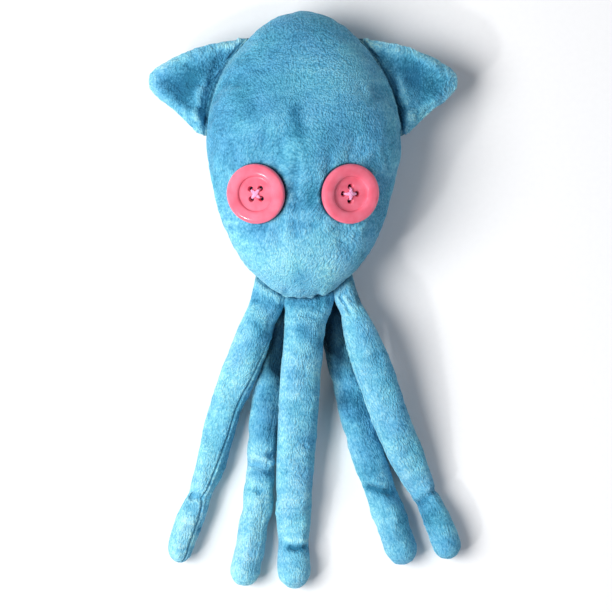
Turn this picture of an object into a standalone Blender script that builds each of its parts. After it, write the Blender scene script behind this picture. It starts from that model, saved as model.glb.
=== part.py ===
"""Plush squid, lying on its back as it would be laid on a table.

A stuffed mantle with two side fins, five stuffed limbs sewn into its lower end, and two four-hole
buttons sewn on for eyes. Metres, +Z up. X runs across the toy, +Y points to the tip of the mantle, and
the origin is the middle of the whole toy, on the surface that it lies on. The pieces are shaped about
the middle of the mantle, and one empty carries them all.
"""

import math
from dataclasses import dataclass

import bmesh
import bpy
from mathutils import Vector

# Sewing
CLOTH_GAP = 0.0003  # between a sewn-on piece and what carries it
LAY_GAP = 0.0006  # between two limbs that lie against each other
SEAM_DIP = 0.0011  # how far a seam pulls the cloth in

# Mantle: a front and a back panel sewn round the outline and stuffed
MANTLE_LENGTH = 0.162
MANTLE_WIDTH = 0.114
MANTLE_OUTLINE = (0.955, 0.945, 0.955, 1.0, 0.985, 0.90)  # share of an ellipse, from the limb end to the tip
MANTLE_FRONT = 0.036  # from the side seam to the front
MANTLE_BACK = 0.031  # from the side seam to the back, before the toy's weight flattens it
BACK_SQUASH = 0.0035  # pressed flat by the toy's own weight
MANTLE_FULLNESS = 2.15  # 2 is an ellipse, and more is a tighter stuffed section
MANTLE_SEAM_SPREAD = math.radians(6)
STUFFING_LUMP = 0.0006  # how far the stuffing bulges between its hollows
SEAM_HEIGHT = MANTLE_BACK - BACK_SQUASH

# Fins: flat, lightly stuffed leaves sewn into the side seams near the tip
FIN_TOP = 0.066  # where the root starts, measured from the middle of the mantle towards the tip
FIN_BOTTOM = 0.008  # where the root ends
FIN_REACH = 0.032  # how far the tip stands out past the side of the mantle
FIN_TIP = 0.040  # how far the tip lies towards the mantle's tip from its middle
FIN_TIP_ROUND = 0.0085
FIN_LEADING_BULGE = 0.0075
FIN_TRAILING_BULGE = 0.0010
FIN_THICKNESS = 0.0115
FIN_BURIED = 0.008  # seam allowance inside the mantle, trimmed to its surface
FIN_DROOP = 0.006  # how far the tip hangs below the side seam
FIN_HOLLOW = 0.0022  # dent in the middle of each face
FIN_ROOT_PINCH = 0.55  # share of the thickness lost where the fin is sewn in
FIN_ROOT_RUN = 0.014  # from the sewn root to the full thickness
FIN_GATHER = 0.0009  # height of the gathers along the root
FIN_GATHER_SPACING = 0.0145

# Limbs: long stuffed tubes, each closed by one seam along its side
ARM_LENGTH = 0.1725
SHORT_ARM_LENGTH = 0.1645
TENTACLE_LENGTH = 0.1653
LIMB_WIDTH = 0.0186
LIMB_THICKNESS = 0.0165
LIMB_SEAM_SPREAD = math.radians(14)
ROOT_THICKNESS = 0.0100  # pressed together where they are sewn in
ROOT_RUN = 0.026  # from the pressed root to the full thickness
ROOT_BURIED = 0.022  # seam allowance inside the mantle, trimmed to its surface
ROOT_RISE = 0.0040  # how far the end of the mantle hangs over the limbs
FRONT_ROW_DROP = 0.0035  # the front row's middle lies this far under the side seam
CENTRE_ROOT = 0.0034  # the centre arm is sewn in this far right of the middle
CENTRE_ROOT_WIDTH = 0.0262
LEFT_ROOT_WIDTH = 0.0186
RIGHT_ROOT_WIDTH = 0.0150
BACK_ROOT_WIDTH = 0.0155
ROOT_SPACING = 0.0013  # between neighbours in the front row, at the mantle
BACK_ROOT_SPACING = 0.0045  # between the two at the back
FLOOR_SQUASH = 0.0006  # how far a limb is flattened where it lies
DROOP_RUN = 0.095  # over which a front limb sinks from its root to the surface
STEEPEST_DROOP = 0.30  # fall per length of a limb that slides off what it lies on
CREASE_PINCH = 0.13  # share that a limb narrows by at the crease above its tip
CREASE_RUN = 0.007

# Buttons
BUTTON_RADIUS = 0.0168
BUTTON_THICKNESS = 0.0050
BUTTON_DISH_RADIUS = 0.0098
BUTTON_DISH_DEPTH = 0.0021
BUTTON_SHOULDER = 0.0026  # height of the outer edge above the underside
BUTTON_FOOT = 0.0030  # how far the underside is rounded in from the edge
RIM_FULLNESS = 2.5  # 2 is an ellipse, and more is a flatter rim with rounder edges
HOLE_RADIUS = 0.0017
HOLE_CIRCLE_RADIUS = 0.0040
HOLE_TURN = math.radians(22)  # the holes aren't lined up with the toy
EYE_INSET = 0.0255  # from the mantle's side to the middle of a button
EYE_DROP = 0.024  # below the middle of the mantle
EYE_SINK = 0.0026  # how far the thread pulls the button into the stuffing
EYE_DIMPLE = 2.0  # the cloth is drawn flat this many button radii out
THREAD_RADIUS = 0.0007
THREAD_RISE = 0.0004  # thread above the dish
THREAD_BEND = 0.0011  # radius of the bend over the edge of a hole

# Mesh fineness
MANTLE_SEGMENTS, MANTLE_RINGS = 44, 30
LIMB_SEGMENTS, LIMB_RINGS, LIMB_END_RINGS = 16, 30, 5
FIN_SEGMENTS, FIN_RINGS = 44, 12
BUTTON_STEPS, RIM_STEPS, HOLE_STEPS, BEND_STEPS = 36, 10, 12, 3


@dataclass
class Limb:
    """One limb, as it is sewn in and laid.

    Headings are degrees away from straight down, positive towards -X. Swells are widths below the root, as
    shares of LIMB_WIDTH. Both are evenly spaced down to the tip.
    """

    name: str
    row: str
    root_x: float
    root_width: float
    length: float
    headings: tuple
    swells: tuple
    crease: float
    seam_angle: float
    rests_on: tuple = ()


@dataclass
class Section:
    """One section across a limb: middle, way across, half sizes, and rounding where an end is closed."""

    middle: Vector
    across: Vector
    half_width: float
    half_depth: float
    rounding: float


def limb_plan():
    """The five limbs, from the pair that lies underneath to the three laid over them."""
    back_x = (BACK_ROOT_WIDTH + BACK_ROOT_SPACING) / 2
    left_x = CENTRE_ROOT - CENTRE_ROOT_WIDTH / 2 - ROOT_SPACING - LEFT_ROOT_WIDTH / 2
    right_x = CENTRE_ROOT + CENTRE_ROOT_WIDTH / 2 + ROOT_SPACING + RIGHT_ROOT_WIDTH / 2
    return [
        Limb(
            name="arm_back_left", row="back", length=ARM_LENGTH,
            root_x=CENTRE_ROOT - back_x, root_width=BACK_ROOT_WIDTH,
            headings=(12, 12.5, 9.5, 4, 8.5, 12), swells=(0.98, 0.99, 0.97, 0.99, 0.96),
            crease=0.60, seam_angle=60,
        ),
        Limb(
            name="arm_back_right", row="back", length=SHORT_ARM_LENGTH,
            root_x=CENTRE_ROOT + back_x, root_width=BACK_ROOT_WIDTH,
            headings=(-13, -13, -14, -17.5, -22, -17), swells=(1.01, 1.05, 1.09, 1.02, 0.99),
            crease=0.72, seam_angle=120,
        ),
        Limb(
            name="arm_centre", row="front", length=ARM_LENGTH,
            root_x=CENTRE_ROOT, root_width=CENTRE_ROOT_WIDTH,
            headings=(6.5, 6.2, 3.5, 4, 0.5, -2), swells=(1.28, 1.23, 1.14, 1.05, 1.02),
            crease=0.85, seam_angle=15, rests_on=("arm_back_left", "arm_back_right"),
        ),
        Limb(
            name="tentacle_left", row="front", length=TENTACLE_LENGTH,
            root_x=left_x, root_width=LEFT_ROOT_WIDTH,
            headings=(14, 20.5, 20.5, 14.5, 22, 15), swells=(1.18, 1.08, 1.0, 0.97, 0.90),
            crease=0.745, seam_angle=35, rests_on=("arm_back_left",),
        ),
        Limb(
            name="tentacle_right", row="front", length=TENTACLE_LENGTH,
            root_x=right_x, root_width=RIGHT_ROOT_WIDTH,
            headings=(-16.5, -19.5, -18.5, -24, -26.5, -15), swells=(1.21, 1.27, 1.19, 0.95, 0.91),
            crease=0.765, seam_angle=150, rests_on=("arm_back_right",),
        ),
    ]


# Curves


def smooth(t):
    """0 to 1 with soft ends."""
    t = min(max(t, 0.0), 1.0)
    return t * t * (3 - 2 * t)


def soft_step(before, start, end, after, share):
    """Value on the soft curve from start to end, which has before and after as its outer neighbours."""
    return 0.5 * (
        2 * start
        + (end - before) * share
        + (2 * before - 5 * start + 4 * end - after) * share**2
        + (3 * start - before - 3 * end + after) * share**3
    )


def between(knots, t):
    """Value at t, from 0 to 1, on a soft curve through evenly spaced knots."""
    last = len(knots) - 1
    place = min(max(t, 0.0), 1.0) * last
    first = min(int(place), last - 1)
    near = [knots[min(max(first + step, 0), last)] for step in (-1, 0, 1, 2)]
    return soft_step(*near, place - first)


def round_closed_curve(points, share):
    """A point on the soft closed curve through the points."""
    place = (share % 1.0) * len(points)
    first = int(place)
    near = [points[(first + step) % len(points)] for step in (-1, 0, 1, 2)]
    return Vector([soft_step(*(point[axis] for point in near), place - first) for axis in (0, 1)])


def superellipse(angle, fullness):
    """Cosine and sine of the angle, pushed out from an ellipse towards a rounded square."""
    return tuple(
        math.copysign(abs(value) ** (2 / fullness), value) for value in (math.cos(angle), math.sin(angle))
    )


def round_end(station):
    """Share of the full size at a station from -1 to 1 of a rounded body."""
    return math.sqrt(max(0.0, 1 - station**2))


def seam_dip(angle_off_seam, spread):
    """How far the cloth is pulled in at an angle away from its seam."""
    return SEAM_DIP * math.exp(-((angle_off_seam / spread) ** 2))


# Scene


def clear_scene():
    for obj in list(bpy.data.objects):
        bpy.data.objects.remove(obj, do_unlink=True)


def new_collection(name):
    made = bpy.data.collections.new(name)
    bpy.context.scene.collection.children.link(made)
    return made


def plain_material(name, colour, roughness):
    """A Principled material from a linear colour, for a surface that isn't metal."""
    made = bpy.data.materials.new(name)
    made.use_nodes = True
    shader = made.node_tree.nodes["Principled BSDF"]
    shader.inputs["Base Color"].default_value = (*colour, 1.0)
    shader.inputs["Roughness"].default_value = roughness
    shader.inputs["Metallic"].default_value = 0.0
    return made


def new_object(name, mesh, group, carrier, finish=None):
    made = bpy.data.objects.new(name, mesh)
    group.objects.link(made)
    made.parent = carrier
    if finish:
        mesh.materials.append(finish)
    return made


def hide_cutter(cutter):
    cutter.hide_render = True
    cutter.display_type = "WIRE"


def shaped_ball(name, segments, rings, place):
    """A UV sphere with each vertex put where place(turn, ring) says: turn in radians, ring 0 on top."""
    shape = bmesh.new()
    bmesh.ops.create_uvsphere(shape, u_segments=segments, v_segments=rings, radius=1.0)
    for vert in shape.verts:
        ring = round(math.acos(max(-1.0, min(1.0, vert.co.z))) / math.pi * rings)
        vert.co = place(math.atan2(vert.co.y, vert.co.x), ring)
    if shape.calc_volume(signed=True) < 0:
        bmesh.ops.reverse_faces(shape, faces=shape.faces)
    mesh = bpy.data.meshes.new(name)
    shape.to_mesh(mesh)
    shape.free()
    mesh.shade_smooth()
    return mesh


def grown_cutter(obj, gap, group, carrier):
    """A hidden copy of a piece, larger all round by a gap, to trim what is sewn to it."""
    cutter = new_object(f"{obj.name}_clearance", obj.data.copy(), group, carrier)
    grow = cutter.modifiers.new("Grow", "DISPLACE")
    grow.mid_level = 0.0
    grow.strength = gap
    hide_cutter(cutter)
    return cutter


def trim(obj, cutter):
    """Cuts a piece back to the cutter's surface."""
    cut = obj.modifiers.new(f"Trim_{cutter.name}", "BOOLEAN")
    cut.operation = "DIFFERENCE"
    cut.object = cutter


# Mantle


def mantle_half_width(along):
    """Half the mantle's width at a distance from its middle towards the tip."""
    station = along / (MANTLE_LENGTH / 2)
    return MANTLE_WIDTH / 2 * round_end(station) * between(MANTLE_OUTLINE, (station + 1) / 2)


def mantle_lump(across, station):
    """Soft hollows and bulges of the stuffing, from -1 to 1, two or three to each way across."""
    return math.sin(7.3 * across + 2.1 * station + 0.6) * math.cos(6.1 * station - 1.7 * across + 1.1)


def mantle_surface(turn, station):
    """A point on the stuffed bag. Turn 0 is the side seam at +X, and a quarter turn the middle of the front."""
    across, depth = superellipse(turn, MANTLE_FULLNESS)
    roundness = round_end(station)
    along = station * MANTLE_LENGTH / 2
    off_seam = math.atan2(abs(math.sin(turn)), abs(math.cos(turn)))
    lump = STUFFING_LUMP * mantle_lump(across, station) * roundness
    half_width = mantle_half_width(along) + lump - seam_dip(off_seam, MANTLE_SEAM_SPREAD) * roundness
    half_depth = (MANTLE_FRONT if depth > 0 else MANTLE_BACK) * roundness + lump
    return Vector((across * max(half_width, 0.0), along, SEAM_HEIGHT + depth * half_depth))


def eye_seat(side):
    """Middle of the flat seat under a button, and the way the button faces."""
    station = -EYE_DROP / (MANTLE_LENGTH / 2)
    half_width = mantle_half_width(-EYE_DROP)
    across = side * (1 - EYE_INSET / half_width)
    turn = math.acos(math.copysign(abs(across) ** (MANTLE_FULLNESS / 2), across))
    step = 0.01
    middle = mantle_surface(turn, station)
    round_the_body = mantle_surface(turn + step, station) - mantle_surface(turn - step, station)
    along_the_body = mantle_surface(turn, station + step) - mantle_surface(turn, station - step)
    facing = along_the_body.cross(round_the_body).normalized()
    if facing.z < 0:
        facing.negate()
    return middle - facing * EYE_SINK, facing


def mantle_mesh():
    """The stuffed bag, flat where it lies and drawn in under each button."""
    seats = [eye_seat(side) for side in (-1, 1)]

    def place(turn, ring):
        point = mantle_surface(turn, math.cos(ring / MANTLE_RINGS * math.pi))
        point.z = max(point.z, 0.0)
        for middle, facing in seats:
            height = (point - middle).dot(facing)
            if height > 0 and (point - middle).length < BUTTON_RADIUS * EYE_DIMPLE:
                point = point - facing * height
        return point

    return shaped_ball("mantle", MANTLE_SEGMENTS, MANTLE_RINGS, place)


# Fins


def fin_outline():
    """Closed outline of the right-hand fin, seen from above, from the top of its root round to the inside."""
    top = Vector((mantle_half_width(FIN_TOP), FIN_TOP))
    bottom = Vector((mantle_half_width(FIN_BOTTOM), FIN_BOTTOM))
    tip = Vector((MANTLE_WIDTH / 2 + FIN_REACH, FIN_TIP))
    buried = Vector((FIN_BURIED, 0.0))
    out_of_leading_edge = (tip - top).orthogonal().normalized()
    out_of_trailing_edge = (bottom - tip).orthogonal().normalized()
    return [
        top - buried,
        top + buried / 2,
        top.lerp(tip, 0.5) + out_of_leading_edge * FIN_LEADING_BULGE,
        tip + Vector((-0.50, 1.05)) * FIN_TIP_ROUND,
        tip,
        tip + Vector((-0.60, -1.0)) * FIN_TIP_ROUND,
        tip.lerp(bottom, 0.5) + out_of_trailing_edge * FIN_TRAILING_BULGE,
        bottom,
        bottom - buried,
        top.lerp(bottom, 0.5) - buried,
    ]


def fin_height(flat, out, face, root_x):
    """Height of a face of the fin: swollen between the edges, hollow in the middle, gathered at the root."""
    from_mantle = max(flat.x - mantle_half_width(flat.y), 0.0)
    pinch = 1 - FIN_ROOT_PINCH * (1 - smooth(from_mantle / FIN_ROOT_RUN))
    _, swell = superellipse(math.acos(min(out, 1.0)), 2.5)
    thickness = FIN_THICKNESS / 2 * swell * pinch
    hollow = min(FIN_HOLLOW * math.exp(-((out * 2) ** 2)), thickness / 2)
    gather = FIN_GATHER * math.sin(flat.y / FIN_GATHER_SPACING * 2 * math.pi) * (1 - out**2)
    gather *= math.exp(-from_mantle / FIN_ROOT_RUN)
    away = max(flat.x - root_x, 0.0) / (MANTLE_WIDTH / 2 + FIN_REACH - root_x)
    return SEAM_HEIGHT + face * (thickness - hollow) + gather - FIN_DROOP * away**2


def fin_mesh(name, side):
    outline = fin_outline()
    middle = sum(outline, Vector((0.0, 0.0))) / len(outline)
    root_x = mantle_half_width((FIN_TOP + FIN_BOTTOM) / 2)

    def place(turn, ring):
        polar = ring / FIN_RINGS * math.pi
        out = math.sin(polar)
        edge = round_closed_curve(outline, turn / (2 * math.pi))
        flat = middle + (edge - middle) * out
        face = math.copysign(1.0, math.cos(polar))
        return Vector((side * flat.x, flat.y, fin_height(flat, out, face, root_x)))

    return shaped_ball(name, FIN_SEGMENTS, FIN_RINGS, place)


# Limbs


def section_distances(limb):
    """Distances from the buried end at which the sections lie, closer together round the two closed ends."""
    whole = limb.length + ROOT_BURIED
    tip_run = LIMB_WIDTH * limb.swells[-1] / 2
    turns = [step / LIMB_END_RINGS * math.pi / 2 for step in range(LIMB_END_RINGS + 1)]
    start = [tip_run * (1 - math.cos(turn)) for turn in turns]
    steps = LIMB_RINGS - 2 * LIMB_END_RINGS
    straight = [tip_run + (whole - 2 * tip_run) * step / steps for step in range(1, steps)]
    return start + straight + [whole - distance for distance in reversed(start)]


def section_size(limb, below_root):
    """Half width and half thickness of a limb at a distance below its root."""
    share = max(below_root, 0.0) / limb.length
    widths = (limb.root_width, *(LIMB_WIDTH * swell for swell in limb.swells))
    off_crease = (below_root - limb.crease * limb.length) / CREASE_RUN
    pinch = 1 - CREASE_PINCH * math.exp(-(off_crease**2))
    thickness = ROOT_THICKNESS + (LIMB_THICKNESS - ROOT_THICKNESS) * smooth(below_root / ROOT_RUN)
    return between(widths, share) / 2 * pinch, thickness / 2 * pinch


def clearing_height(spot, half_width, half_depth, under):
    """The least height at which a section at this spot clears the limb that lies under it."""
    least = 0.0
    for section in under:
        distance = (spot - section.middle.xy).length
        reach = half_width + section.half_width + LAY_GAP
        if distance < reach:
            lift = (half_depth + section.half_depth + LAY_GAP) * round_end(distance / reach)
            least = max(least, section.middle.z + lift)
    return least


def lay_limb(limb, laid):
    """The limb's sections: its route from the headings, and its height over what it lies on."""
    start = math.radians(limb.headings[0])
    root = Vector((limb.root_x, ROOT_RISE - MANTLE_LENGTH / 2))
    spot = root + Vector((math.sin(start), math.cos(start))) * ROOT_BURIED
    root_height = SEAM_HEIGHT - FRONT_ROW_DROP
    if limb.row == "back":
        root_height -= ROOT_THICKNESS + LAY_GAP
    whole = limb.length + ROOT_BURIED
    tip_run = LIMB_WIDTH * limb.swells[-1] / 2
    sections = []
    before = 0.0
    for distance in section_distances(limb):
        below_root = distance - ROOT_BURIED
        heading = math.radians(between(limb.headings, below_root / limb.length))
        way = Vector((-math.sin(heading), -math.cos(heading)))
        spot = spot + way * (distance - before)
        half_width, half_depth = section_size(limb, below_root)
        lying = half_depth - FLOOR_SQUASH
        height = lying + max(root_height - lying, 0.0) * (1 - smooth(below_root / DROOP_RUN))
        for name in limb.rests_on:
            height = max(height, clearing_height(spot, half_width, half_depth, laid[name]))
        if sections:
            height = max(height, sections[-1].middle.z - STEEPEST_DROOP * (distance - before))
        from_end = min(distance, whole - distance) / tip_run
        rounding = round_end(max(1 - from_end, 0.0))
        middle = Vector((spot.x, spot.y, height))
        sections.append(Section(middle, Vector((-way.y, way.x, 0.0)), half_width, half_depth, rounding))
        before = distance
    return sections


def limb_mesh(limb, sections):
    """A closed tube over the sections, pulled in along its seam and flat where it lies."""
    seam = math.radians(limb.seam_angle)
    up = Vector((0.0, 0.0, 1.0))

    def place(turn, ring):
        section = sections[ring]
        off_seam = math.remainder(turn - seam, 2 * math.pi)
        dip = seam_dip(off_seam, LIMB_SEAM_SPREAD)
        sideways = section.across * math.cos(turn) * (section.half_width - dip)
        upwards = up * math.sin(turn) * (section.half_depth - dip)
        point = section.middle + (sideways + upwards) * section.rounding
        point.z = max(point.z, 0.0)
        return point

    return shaped_ball(limb.name, LIMB_SEGMENTS, LIMB_RINGS, place)


# Buttons


def button_profile():
    """Half section of the button, from the middle of the dish out over the domed rim and back under it."""
    dish_top = BUTTON_THICKNESS - BUTTON_DISH_DEPTH
    rim_middle = (BUTTON_RADIUS + BUTTON_DISH_RADIUS) / 2
    rim_half = (BUTTON_RADIUS - BUTTON_DISH_RADIUS) / 2
    points = [(0.0, dish_top)]
    for step in range(RIM_STEPS + 1):
        across, up = superellipse(math.pi * (1 - step / RIM_STEPS), RIM_FULLNESS)
        foot = dish_top if across < 0 else BUTTON_SHOULDER
        points.append((rim_middle + rim_half * across, foot + (BUTTON_THICKNESS - foot) * max(up, 0.0)))
    for step in range(1, RIM_STEPS // 2 + 1):
        across, down = superellipse(math.pi * step / RIM_STEPS, 2)
        points.append((BUTTON_RADIUS - BUTTON_FOOT * (1 - across), BUTTON_SHOULDER * (1 - down)))
    points.append((0.0, 0.0))
    return points


def turned_solid(name, profile, steps, group, carrier, finish):
    """A solid turned about its own Z axis from a half section."""
    mesh = bpy.data.meshes.new(name)
    points = [(x, 0.0, z) for x, z in profile]
    edges = [(i, i + 1) for i in range(len(points) - 1)]
    mesh.from_pydata(points, edges, [])
    made = new_object(name, mesh, group, carrier, finish)
    turn = made.modifiers.new("Turn", "SCREW")
    turn.axis = "Z"
    turn.steps = steps
    turn.render_steps = steps
    turn.use_merge_vertices = True
    turn.merge_threshold = 0.00001
    return made


def hole_places():
    """Middles of the four holes, on the button's underside."""
    for quarter in range(4):
        angle = HOLE_TURN + quarter * math.pi / 2
        yield Vector((math.cos(angle), math.sin(angle), 0.0)) * HOLE_CIRCLE_RADIUS


def drill_holes(button, cutters):
    for number, spot in enumerate(hole_places()):
        shape = bmesh.new()
        bmesh.ops.create_cone(
            shape, cap_ends=True, segments=HOLE_STEPS,
            radius1=HOLE_RADIUS, radius2=HOLE_RADIUS, depth=BUTTON_THICKNESS * 3,
        )
        mesh = bpy.data.meshes.new(f"{button.name}_hole_{number}")
        shape.to_mesh(mesh)
        shape.free()
        drill = new_object(mesh.name, mesh, cutters, button)
        drill.location = spot
        hide_cutter(drill)
        trim(button, drill)


def make_button(name, side, group, cutters, carrier, finish):
    seat, facing = eye_seat(side)
    button = turned_solid(name, button_profile(), BUTTON_STEPS, group, carrier, finish)
    button.location = seat + facing * CLOTH_GAP
    button.rotation_euler = facing.to_track_quat("Z", "Y").to_euler()
    drill_holes(button, cutters)
    return button


def stitch_route(first, second, lift):
    """Up through one hole, over the dish and down through the other, with a bend at each hole."""
    over = BUTTON_THICKNESS - BUTTON_DISH_DEPTH + THREAD_RADIUS + THREAD_RISE + lift
    along = (second - first).normalized()
    up_side = [first]
    down_side = [second]
    for step in range(BEND_STEPS + 1):
        angle = step / BEND_STEPS * math.pi / 2
        inwards = along * THREAD_BEND * (1 - math.cos(angle))
        rise = Vector((0.0, 0.0, over - THREAD_BEND * (1 - math.sin(angle))))
        up_side.append(first + inwards + rise)
        down_side.append(second - inwards + rise)
    return up_side + down_side[::-1]


def thread_mesh(name, route):
    """A closed tube of thread along the route."""
    curve = bpy.data.curves.new(f"{name}_route", "CURVE")
    curve.dimensions = "3D"
    curve.bevel_depth = THREAD_RADIUS
    curve.bevel_resolution = 1
    curve.use_fill_caps = True
    spline = curve.splines.new("POLY")
    spline.points.add(len(route) - 1)
    for point, spot in zip(spline.points, route):
        point.co = (*spot, 1.0)
    wire = bpy.data.objects.new(curve.name, curve)
    bpy.context.scene.collection.objects.link(wire)
    graph = bpy.context.evaluated_depsgraph_get()
    mesh = bpy.data.meshes.new_from_object(wire.evaluated_get(graph))
    mesh.name = name
    bpy.data.objects.remove(wire)
    shape = bmesh.new()
    shape.from_mesh(mesh)
    bmesh.ops.remove_doubles(shape, verts=shape.verts, dist=0.000001)
    bmesh.ops.recalc_face_normals(shape, faces=shape.faces)
    shape.to_mesh(mesh)
    shape.free()
    mesh.materials.clear()
    return mesh


def make_thread(name, button, group, cutters, finish):
    """Two crossed stitches, made one body where they cross, in the button's own frame."""
    holes = list(hole_places())
    under = thread_mesh(name, stitch_route(holes[0], holes[2], 0.0))
    over = thread_mesh(f"{name}_crossing", stitch_route(holes[1], holes[3], THREAD_RADIUS / 2))
    stitches = new_object(name, under, group, button, finish)
    crossing = new_object(over.name, over, cutters, button)
    hide_cutter(crossing)
    join = stitches.modifiers.new("Cross", "BOOLEAN")
    join.operation = "UNION"
    join.object = crossing


def centre_on_origin(carrier, group):
    """Moves the whole toy so that the middle of its box, seen from above, is the origin."""
    bpy.context.view_layer.update()
    graph = bpy.context.evaluated_depsgraph_get()
    corners = []
    for obj in group.objects:
        placed = obj.evaluated_get(graph)
        corners += [placed.matrix_world @ Vector(corner) for corner in placed.bound_box]
    for axis in (0, 1):
        values = [corner[axis] for corner in corners]
        carrier.location[axis] = -(min(values) + max(values)) / 2


def main():
    clear_scene()
    squid = new_collection("plush_squid")
    cutters = new_collection("cutters")
    carrier = new_object("squid_middle", None, cutters, None)
    plush = plain_material("blue_plush", (0.17, 0.44, 0.66), 0.9)
    plastic = plain_material("coral_plastic", (0.90, 0.15, 0.20), 0.25)
    cotton = plain_material("pink_thread", (0.78, 0.36, 0.55), 0.8)

    mantle = new_object("mantle", mantle_mesh(), squid, carrier, plush)
    seat = grown_cutter(mantle, CLOTH_GAP, cutters, carrier)
    for name, side in (("fin_left", -1), ("fin_right", 1)):
        trim(new_object(name, fin_mesh(name, side), squid, carrier, plush), seat)

    laid = {}
    for limb in limb_plan():
        laid[limb.name] = lay_limb(limb, laid)
        trim(new_object(limb.name, limb_mesh(limb, laid[limb.name]), squid, carrier, plush), seat)

    for name, side in (("left", -1), ("right", 1)):
        button = make_button(f"button_{name}", side, squid, cutters, carrier, plastic)
        make_thread(f"button_thread_{name}", button, squid, cutters, cotton)

    centre_on_origin(carrier, squid)


main()
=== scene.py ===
"""Looks of the plush squid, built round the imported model.

Each stuffed piece starts as a merged copy of its solid. It is remeshed evenly, filled by a short
cloth simulation while its seams are held, and then gets its seams, puckers, folds and pile. The two
button eyes and their thread are modelled anew in place. Metres, +Z up, +Y towards the tip of the
mantle. Every random pattern has a seed of its own.
"""

import math
from itertools import product

import bmesh
import bpy
import numpy as np
from mathutils import Matrix, Vector
from mathutils.bvhtree import BVHTree
from mathutils.kdtree import KDTree


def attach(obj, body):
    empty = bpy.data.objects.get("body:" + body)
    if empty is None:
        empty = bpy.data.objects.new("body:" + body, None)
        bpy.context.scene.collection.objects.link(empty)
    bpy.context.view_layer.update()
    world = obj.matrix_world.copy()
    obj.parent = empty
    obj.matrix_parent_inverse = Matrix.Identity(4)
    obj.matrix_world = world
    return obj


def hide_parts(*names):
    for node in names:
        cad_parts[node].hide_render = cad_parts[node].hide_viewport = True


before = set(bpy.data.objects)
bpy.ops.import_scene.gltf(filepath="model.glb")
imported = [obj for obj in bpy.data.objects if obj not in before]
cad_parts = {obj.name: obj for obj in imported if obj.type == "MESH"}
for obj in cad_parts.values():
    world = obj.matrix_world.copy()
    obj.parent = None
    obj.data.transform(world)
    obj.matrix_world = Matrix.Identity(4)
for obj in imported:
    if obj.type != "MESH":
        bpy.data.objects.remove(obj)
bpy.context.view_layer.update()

MM = 0.001

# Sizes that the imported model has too
SEAM_HEIGHT = 27.5 * MM
BUTTON_RADIUS = 16.8 * MM
BUTTON_THICKNESS = 5.0 * MM
BUTTON_DISH_RADIUS = 9.8 * MM
BUTTON_DISH_DEPTH = 2.1 * MM
BUTTON_SHOULDER = 2.6 * MM
BUTTON_FOOT = 3.0 * MM
HOLE_RADIUS = 1.7 * MM
HOLE_FOOT_RADIUS = 1.0 * MM
HOLE_CIRCLE_RADIUS = 4.0 * MM
HOLE_TURN = math.radians(22)

# Button and thread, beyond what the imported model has
RIM_FULLNESS = 2.5  # 2 makes the rim's section a half ellipse, more makes it fuller
RIM_STEPS = 22
FOOT_STEPS = 8
HOLE_EDGE = 0.28 * MM
STITCH_ENDS = 2.6 * MM  # how far a strand's route goes on beyond the middle of each hole
STRAND_STEPS = 60
STRAND_SPACING = 0.72 * MM
HALF_TWISTS = 9
PLY_OFFSET = 0.24 * MM  # from the middle of its strand
PLY_RADIUS = 0.29 * MM
CROSSING_LIFT = 0.75 * MM  # of the second stitch over the first
MIDDLE_LIFT = 0.25 * MM  # of the middle strand of each stitch

# Cloth.
MANTLE_SPACING, MANTLE_SLACK, MANTLE_BULGE, MANTLE_FULLNESS = 3.05 * MM, 0.035, 1.8 * MM, 0.75
FIN_SPACING, FIN_SLACK, FIN_BULGE, FIN_FULLNESS = 1.8 * MM, 0.05, 1.4 * MM, 0.4
LIMB_SPACING, LIMB_SLACK, LIMB_BULGE, LIMB_FULLNESS = 1.9 * MM, 0.05, 1.2 * MM, 0.7
FILL_FRAMES = 20
FILL_PRESSURE = 4.0
SEAM_ALLOWANCE = 3.5 * MM  # cloth that goes into the mantle where a piece is sewn on
FINER_LEVELS = 2
CLUMP_SIZE, CLUMP_HEIGHT = 1.5 * MM, 0.06 * MM  # of the pile, as relief
# How many times finer the patterns of the nap are on each piece than written: across, along and up
MANTLE_NAP, FIN_NAP, LIMB_NAP = (1.0, 1.6, 1.0), (1.0, 1.7, 1.0), (1.3, 1.3, 1.3)
FLOOR_FADE = 6 * MM  # strokes of pile and of painted shade and light, and pinches, come in over this height above the floor

# Camera and floor
AIM = Vector((0.8, -2.5, 15.0)) * MM
CAMERA_HEIGHT = 1.9
FRAME_WIDTH = 0.349  # what the picture spans at the height of the aim
SENSOR_WIDTH = 36.0  # mm
FLOOR_GAP = 0.4 * MM  # the floor lies this far below the toy, so that no faces coincide


# Mesh helpers


def deselect_all():
    for obj in bpy.context.selected_objects:
        obj.select_set(False)


def make_active(obj):
    deselect_all()
    obj.select_set(True)
    bpy.context.view_layer.objects.active = obj


def apply_all_modifiers(obj):
    make_active(obj)
    for modifier in list(obj.modifiers):
        bpy.ops.object.modifier_apply(modifier=modifier.name)


def points_of(obj):
    points = np.empty(len(obj.data.vertices) * 3, np.float32)
    obj.data.vertices.foreach_get("co", points)
    return points.reshape(-1, 3).astype(float)


def put_points(obj, points):
    obj.data.vertices.foreach_set("co", points.astype(np.float32).ravel())
    obj.data.update()


def normals_of(obj):
    normals = np.empty(len(obj.data.vertices) * 3, np.float32)
    obj.data.vertex_normals.foreach_get("vector", normals)
    return normals.reshape(-1, 3).astype(float)


def move_out(obj, distances):
    """Moves each vertex along its normal by its own distance."""
    put_points(obj, points_of(obj) + normals_of(obj) * distances[:, None])


def soft(values):
    """0 to 1 with soft ends."""
    values = np.clip(values, 0.0, 1.0)
    return values * values * (3 - 2 * values)


def bump_at(distances, width):
    """1 at no distance, falling off as a bell of the given width."""
    return np.exp(-((distances / width) ** 2))


def facing_up(normals):
    """1 where the cloth faces up, fading to 0 on its sides."""
    return soft(normals[:, 2] * 2)


def three_waves(points, size, seeds):
    return np.stack([waves(points, size, seed) for seed in seeds], 1)


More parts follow.
